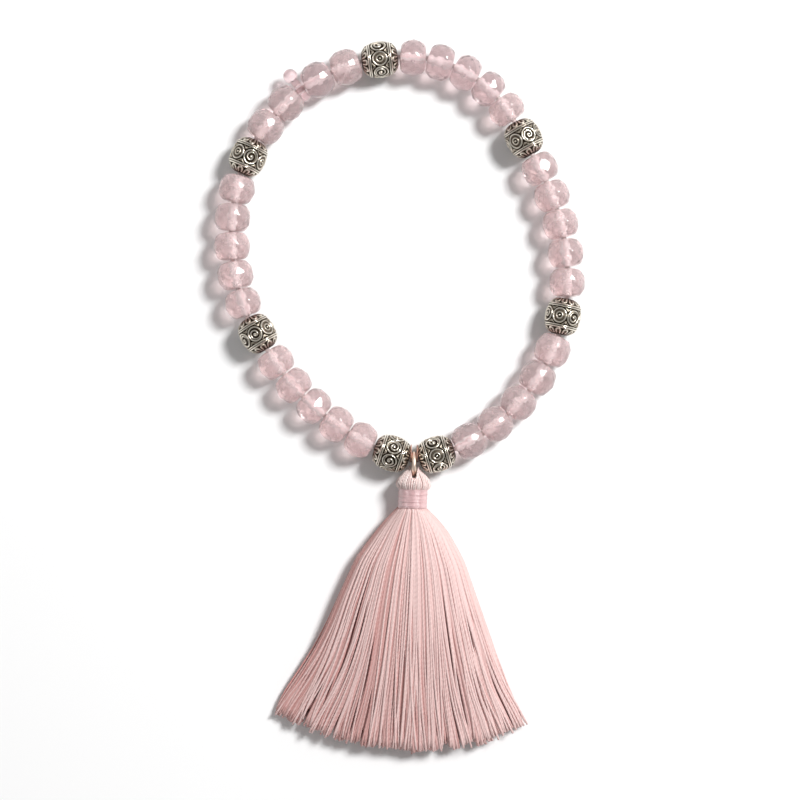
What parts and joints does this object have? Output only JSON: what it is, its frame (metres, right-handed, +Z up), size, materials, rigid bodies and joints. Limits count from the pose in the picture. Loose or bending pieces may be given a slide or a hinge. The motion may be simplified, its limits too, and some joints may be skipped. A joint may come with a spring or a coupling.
{
  "type": "mala prayer bracelet",
  "caption": "Wrist mala lying flat: faceted rose quartz and carved silver barrels on an elastic string, with a jump ring and a flared thread tassel.",
  "frame": {"origin": "middle of the bounding box at the table the object lies on", "axes": "+Y from the tassel to the top silver barrel, +X to the right seen from above, +Z up from the table"},
  "size_m": [0.0602, 0.1151, 0.0063],
  "materials": {
    "rose_quartz": "polished facets, cloudy pale pink",
    "oxidised_silver": "carved silver, darkened in the hollows",
    "pink_plastic": "moulded, slightly translucent",
    "elastic": "clear brown stretch cord",
    "rose_gold": "polished plated wire",
    "pale_thread": "glossy twisted rayon thread",
    "binding_thread": "satin thread, wound"
  },
  "bodies": {
    "top_string": {"elastic_top": "elastic"},
    "right_string_1": {"elastic_right_1": "elastic"},
    "right_string_2": {"elastic_right_2": "elastic"},
    "right_string_3": {"elastic_right_3": "elastic"},
    "right_string_4": {"elastic_right_4": "elastic"},
    "right_string_5": {"elastic_right_5": "elastic"},
    "right_string_6": {"elastic_right_6": "elastic"},
    "left_string_1": {"elastic_left_1": "elastic", "elastic_left_2": "elastic"},
    "left_string_3": {"elastic_left_3": "elastic"},
    "left_string_4": {"elastic_left_4": "elastic", "elastic_left_5": "elastic"},
    "left_string_6": {"elastic_left_6": "elastic"},
    "ring": {"jump_ring": "rose_gold"},
    "head": {"tassel_head": "pale_thread", "neck_binding": "binding_thread"},
    "skirt": {"skirt": "pale_thread"},
    "silver_1": {"silver_1": "oxidised_silver"},
    "silver_2": {"silver_2": "oxidised_silver"},
    "silver_3": {"silver_3": "oxidised_silver"},
    "silver_4": {"silver_4": "oxidised_silver"},
    "silver_5": {"silver_5": "oxidised_silver"},
    "silver_6": {"silver_6": "oxidised_silver"},
    "silver_7": {"silver_7": "oxidised_silver"},
    "quartz_1": {"quartz_1": "rose_quartz"},
    "quartz_2": {"quartz_2": "rose_quartz"},
    "quartz_3": {"quartz_3": "rose_quartz"},
    "quartz_4": {"quartz_4": "rose_quartz"},
    "quartz_5": {"quartz_5": "rose_quartz"},
    "quartz_6": {"quartz_6": "rose_quartz"},
    "quartz_7": {"quartz_7": "rose_quartz"},
    "quartz_8": {"quartz_8": "rose_quartz"},
    "quartz_9": {"quartz_9": "rose_quartz"},
    "quartz_10": {"quartz_10": "rose_quartz"},
    "quartz_11": {"quartz_11": "rose_quartz"},
    "quartz_12": {"quartz_12": "rose_quartz"},
    "quartz_13": {"quartz_13": "rose_quartz"},
    "quartz_14": {"quartz_14": "rose_quartz"},
    "quartz_15": {"quartz_15": "rose_quartz"},
    "quartz_16": {"quartz_16": "rose_quartz"},
    "quartz_17": {"quartz_17": "rose_quartz"},
    "quartz_18": {"quartz_18": "rose_quartz"},
    "quartz_19": {"quartz_19": "rose_quartz"},
    "quartz_20": {"quartz_20": "rose_quartz"},
    "quartz_21": {"quartz_21": "rose_quartz"},
    "quartz_22": {"quartz_22": "rose_quartz"},
    "quartz_23": {"quartz_23": "rose_quartz"},
    "quartz_24": {"quartz_24": "rose_quartz"},
    "quartz_25": {"quartz_25": "rose_quartz"},
    "quartz_26": {"quartz_26": "rose_quartz"},
    "quartz_27": {"quartz_27": "rose_quartz"},
    "quartz_28": {"quartz_28": "rose_quartz"},
    "quartz_29": {"quartz_29": "rose_quartz"},
    "pink_spacer": {"pink_spacer": "pink_plastic"}
  },
  "joints": [
    {"name": "loop_flex", "type": "hinge", "parent": "top_string", "child": "right_string_1", "pos_m": [-0.00012, 0.05461, 0.003], "axis": [0, 0, 1], "range_deg": [-3.98, 3.98]},
    {"name": "flex_right_2", "type": "hinge", "parent": "right_string_1", "child": "right_string_2", "pos_m": [0.01866, 0.0442, 0.003], "axis": [0, 0, 1], "range_deg": [-2.11, 2.11]},
    {"name": "flex_right_3", "type": "hinge", "parent": "right_string_2", "child": "right_string_3", "pos_m": [0.02158, 0.03871, 0.003], "axis": [0, 0, 1], "range_deg": [-4.13, 4.13]},
    {"name": "flex_right_4", "type": "hinge", "parent": "right_string_3", "child": "right_string_4", "pos_m": [0.02712, 0.0156, 0.003], "axis": [0, 0, 1], "range_deg": [-6.33, 6.33]},
    {"name": "flex_right_5", "type": "hinge", "parent": "right_string_4", "child": "right_string_5", "pos_m": [0.02578, 0.00953, 0.003], "axis": [0, 0, 1], "range_deg": [-0.97, 0.97]},
    {"name": "flex_right_6", "type": "hinge", "parent": "right_string_5", "child": "right_string_6", "pos_m": [0.00894, -0.00884, 0.003], "axis": [0, 0, 1], "range_deg": [-3.38, 3.38]},
    {"name": "flex_left_1", "type": "hinge", "parent": "top_string", "child": "left_string_1", "pos_m": [-0.00628, 0.05379, 0.003], "axis": [0, 0, 1], "range_deg": [-5.56, 5.56]},
    {"name": "flex_left_3", "type": "hinge", "parent": "left_string_1", "child": "left_string_3", "pos_m": [-0.0258, 0.0356, 0.003], "axis": [0, 0, 1], "range_deg": [-5.08, 5.08]},
    {"name": "flex_left_4", "type": "hinge", "parent": "left_string_3", "child": "left_string_4", "pos_m": [-0.02459, 0.01247, 0.003], "axis": [0, 0, 1], "range_deg": [-5.5, 5.5]},
    {"name": "flex_left_6", "type": "hinge", "parent": "left_string_4", "child": "left_string_6", "pos_m": [-0.00419, -0.00861, 0.003], "axis": [0, 0, 1], "range_deg": [-4.77, 4.77]},
    {"name": "ring_swing", "type": "hinge", "parent": "left_string_6", "child": "ring", "pos_m": [0.00234, -0.01053, 0.003], "axis": [-1, 0, 0], "range_deg": [0, 45]},
    {"name": "tassel_sway", "type": "hinge", "parent": "ring", "child": "head", "pos_m": [0.00234, -0.01298, 0.0029], "axis": [0, 0, 1], "range_deg": [-8, 8]},
    {"name": "skirt_sway", "type": "hinge", "parent": "head", "child": "skirt", "pos_m": [0.00195, -0.02052, 0.0029], "axis": [0, 0, 1], "range_deg": [-20, 20]},
    {"name": "spacer_rock", "type": "hinge", "parent": "left_string_1", "child": "pink_spacer", "pos_m": [-0.01607, 0.04931, 0.003], "axis": [-0.8039, -0.5948, 0], "range_deg": [-25, 25]},
    {"name": "spin_silver_1", "type": "hinge", "parent": "top_string", "child": "silver_1", "pos_m": [-0.0032, 0.0542, 0.003], "axis": [0.9914, 0.1305, 0], "continuous": true},
    {"name": "spin_silver_2", "type": "hinge", "parent": "right_string_2", "child": "silver_2", "pos_m": [0.02012, 0.04145, 0.003], "axis": [0.4695, -0.8829, 0], "continuous": true},
    {"name": "spin_silver_3", "type": "hinge", "parent": "right_string_4", "child": "silver_3", "pos_m": [0.02645, 0.01257, 0.003], "axis": [-0.2164, -0.9763, 0], "continuous": true},
    {"name": "spin_silver_4", "type": "hinge", "parent": "right_string_6", "child": "silver_4", "pos_m": [0.00596, -0.00972, 0.003], "axis": [-0.9588, -0.284, 0], "continuous": true},
    {"name": "spin_silver_5", "type": "hinge", "parent": "left_string_6", "child": "silver_5", "pos_m": [-0.00124, -0.0096, 0.003], "axis": [0.9483, -0.3173, 0], "continuous": true},
    {"name": "spin_silver_6", "type": "hinge", "parent": "left_string_4", "child": "silver_6", "pos_m": [-0.02298, 0.00981, 0.003], "axis": [0.515, -0.8572, 0], "continuous": true},
    {"name": "spin_silver_7", "type": "hinge", "parent": "left_string_1", "child": "silver_7", "pos_m": [-0.02451, 0.03843, 0.003], "axis": [-0.4147, -0.91, 0], "continuous": true},
    {"name": "spin_quartz_1", "type": "hinge", "parent": "right_string_1", "child": "quartz_1", "pos_m": [0.00219, 0.05448, 0.003], "axis": [0.9986, -0.0523, 0], "continuous": true},
    {"name": "spin_quartz_2", "type": "hinge", "parent": "right_string_1", "child": "quartz_2", "pos_m": [0.0066, 0.05375, 0.003], "axis": [0.9613, -0.2756, 0], "continuous": true},
    {"name": "spin_quartz_3", "type": "hinge", "parent": "right_string_1", "child": "quartz_3", "pos_m": [0.01073, 0.05204, 0.003], "axis": [0.8746, -0.4848, 0], "continuous": true},
    {"name": "spin_quartz_4", "type": "hinge", "parent": "right_string_1", "child": "quartz_4", "pos_m": [0.01437, 0.04944, 0.003], "axis": [0.7431, -0.6691, 0], "continuous": true},
    {"name": "spin_quartz_5", "type": "hinge", "parent": "right_string_1", "child": "quartz_5", "pos_m": [0.01733, 0.04609, 0.003], "axis": [0.5736, -0.8192, 0], "continuous": true},
    {"name": "spin_quartz_6", "type": "hinge", "parent": "right_string_3", "child": "quartz_6", "pos_m": [0.02271, 0.03652, 0.003], "axis": [0.4617, -0.887, 0], "continuous": true},
    {"name": "spin_quartz_7", "type": "hinge", "parent": "right_string_3", "child": "quartz_7", "pos_m": [0.02466, 0.03215, 0.003], "axis": [0.3502, -0.9367, 0], "continuous": true},
    {"name": "spin_quartz_8", "type": "hinge", "parent": "right_string_3", "child": "quartz_8", "pos_m": [0.02606, 0.02757, 0.003], "axis": [0.2334, -0.9724, 0], "continuous": true},
    {"name": "spin_quartz_9", "type": "hinge", "parent": "right_string_3", "child": "quartz_9", "pos_m": [0.0269, 0.02285, 0.003], "axis": [0.1132, -0.9936, 0], "continuous": true},
    {"name": "spin_quartz_10", "type": "hinge", "parent": "right_string_3", "child": "quartz_10", "pos_m": [0.02715, 0.01806, 0.003], "axis": [-0.0087, -1, 0], "continuous": true},
    {"name": "spin_quartz_11", "type": "hinge", "parent": "right_string_5", "child": "quartz_11", "pos_m": [0.02474, 0.00714, 0.003], "axis": [-0.3987, -0.9171, 0], "continuous": true},
    {"name": "spin_quartz_12", "type": "hinge", "parent": "right_string_5", "child": "quartz_12", "pos_m": [0.02233, 0.00266, 0.003], "axis": [-0.5446, -0.8387, 0], "continuous": true},
    {"name": "spin_quartz_13", "type": "hinge", "parent": "right_string_5", "child": "quartz_13", "pos_m": [0.01922, -0.00136, 0.003], "axis": [-0.6756, -0.7373, 0], "continuous": true},
    {"name": "spin_quartz_14", "type": "hinge", "parent": "right_string_5", "child": "quartz_14", "pos_m": [0.01549, -0.00481, 0.003], "axis": [-0.788, -0.6157, 0], "continuous": true},
    {"name": "spin_quartz_15", "type": "hinge", "parent": "right_string_5", "child": "quartz_15", "pos_m": [0.01124, -0.00759, 0.003], "axis": [-0.8788, -0.4772, 0], "continuous": true},
    {"name": "spin_quartz_16", "type": "hinge", "parent": "left_string_4", "child": "quartz_16", "pos_m": [-0.00629, -0.00742, 0.003], "axis": [0.8704, -0.4924, 0], "continuous": true},
    {"name": "spin_quartz_17", "type": "hinge", "parent": "left_string_4", "child": "quartz_17", "pos_m": [-0.01024, -0.00488, 0.003], "axis": [0.809, -0.5878, 0], "continuous": true},
    {"name": "spin_quartz_18", "type": "hinge", "parent": "left_string_4", "child": "quartz_18", "pos_m": [-0.01387, -0.00191, 0.003], "axis": [0.7373, -0.6756, 0], "continuous": true},
    {"name": "spin_quartz_19", "type": "hinge", "parent": "left_string_4", "child": "quartz_19", "pos_m": [-0.01715, 0.00145, 0.003], "axis": [0.6561, -0.7547, 0], "continuous": true},
    {"name": "spin_quartz_20", "type": "hinge", "parent": "left_string_4", "child": "quartz_20", "pos_m": [-0.02002, 0.00516, 0.003], "axis": [0.5664, -0.8241, 0], "continuous": true},
    {"name": "spin_quartz_21", "type": "hinge", "parent": "left_string_3", "child": "quartz_21", "pos_m": [-0.02537, 0.01475, 0.003], "axis": [0.3256, -0.9455, 0], "continuous": true},
    {"name": "spin_quartz_22", "type": "hinge", "parent": "left_string_3", "child": "quartz_22", "pos_m": [-0.02658, 0.01928, 0.003], "axis": [0.1908, -0.9816, 0], "continuous": true},
    {"name": "spin_quartz_23", "type": "hinge", "parent": "left_string_3", "child": "quartz_23", "pos_m": [-0.02716, 0.02394, 0.003], "axis": [0.0523, -0.9986, 0], "continuous": true},
    {"name": "spin_quartz_24", "type": "hinge", "parent": "left_string_3", "child": "quartz_24", "pos_m": [-0.02707, 0.02862, 0.003], "axis": [-0.0872, -0.9962, 0], "continuous": true},
    {"name": "spin_quartz_25", "type": "hinge", "parent": "left_string_3", "child": "quartz_25", "pos_m": [-0.02634, 0.03325, 0.003], "axis": [-0.225, -0.9744, 0], "continuous": true},
    {"name": "spin_quartz_26", "type": "hinge", "parent": "left_string_1", "child": "quartz_26", "pos_m": [-0.0217, 0.04332, 0.003], "axis": [-0.5948, -0.8039, 0], "continuous": true},
    {"name": "spin_quartz_27", "type": "hinge", "parent": "left_string_1", "child": "quartz_27", "pos_m": [-0.01844, 0.0471, 0.003], "axis": [-0.7071, -0.7071, 0], "continuous": true},
    {"name": "spin_quartz_28", "type": "hinge", "parent": "left_string_1", "child": "quartz_28", "pos_m": [-0.01326, 0.05093, 0.003], "axis": [-0.8829, -0.4695, 0], "continuous": true},
    {"name": "spin_quartz_29", "type": "hinge", "parent": "left_string_1", "child": "quartz_29", "pos_m": [-0.0087, 0.05294, 0.003], "axis": [-0.9426, -0.3338, 0], "continuous": true}
  ],
  "couplings": [
    {"joint": "flex_right_2", "follows": "loop_flex", "ratio": 0.51688},
    {"joint": "flex_right_3", "follows": "loop_flex", "ratio": -1.0246},
    {"joint": "flex_right_4", "follows": "loop_flex", "ratio": -1.578},
    {"joint": "flex_right_5", "follows": "loop_flex", "ratio": -0.23125},
    {"joint": "flex_right_6", "follows": "loop_flex", "ratio": 0.83731},
    {"joint": "flex_left_1", "follows": "loop_flex", "ratio": -1.3838},
    {"joint": "flex_left_3", "follows": "loop_flex", "ratio": 1.2642},
    {"joint": "flex_left_4", "follows": "loop_flex", "ratio": 1.3688},
    {"joint": "flex_left_6", "follows": "loop_flex", "ratio": -1.1862}
  ]
}
